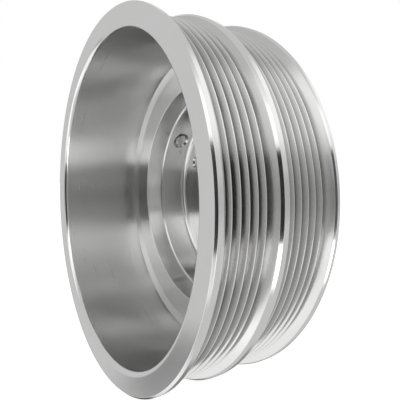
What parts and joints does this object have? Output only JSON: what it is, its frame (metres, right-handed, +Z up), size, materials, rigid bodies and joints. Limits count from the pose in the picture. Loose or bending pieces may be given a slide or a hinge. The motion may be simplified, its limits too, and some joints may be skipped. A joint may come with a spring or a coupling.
{
  "type": "supercharger crank pulley",
  "caption": "Deep-dish crankshaft pulley with ribbed belt tracks for driving a supercharger, with a keyed steel hub and a torsional damper at the rear.",
  "frame": {"origin": "on the spin axis, at the rear seat of the hub's nose, where it bears on the crankshaft", "axes": "the spin axis is along Y: the open front of the cup faces -Y and the crankshaft comes from +Y; +Z is up and passes through the keyway"},
  "size_m": [0.174, 0.112, 0.174],
  "materials": {
    "machined_aluminium": "bright turned",
    "hub_steel": "turned, satin",
    "pin_steel": "ground",
    "ring_iron": "machined, dark phosphate",
    "elastomer": "matt",
    "cover_aluminium": "turned, satin",
    "screw_steel": "black oxide",
    "insert_steel": "plain"
  },
  "bodies": {
    "pulley": {"pulley_shell": "machined_aluminium", "crank_hub": "hub_steel", "hub_pins": "pin_steel", "damper_cover": "cover_aluminium", "cover_screws": "screw_steel", "thread_inserts": "insert_steel"},
    "damper_ring": {"inertia_ring": "ring_iron", "front_inner_o_ring": "elastomer", "front_outer_o_ring": "elastomer", "rear_inner_o_ring": "elastomer", "rear_outer_o_ring": "elastomer"}
  },
  "joints": [
    {"name": "damper_twist", "type": "hinge", "parent": "pulley", "child": "damper_ring", "pos_m": [0, -0.0502, 0], "axis": [0, 1, 0], "range_deg": [-1.5, 1.5], "stiffness_Nm_per_rad": 400}
  ]
}
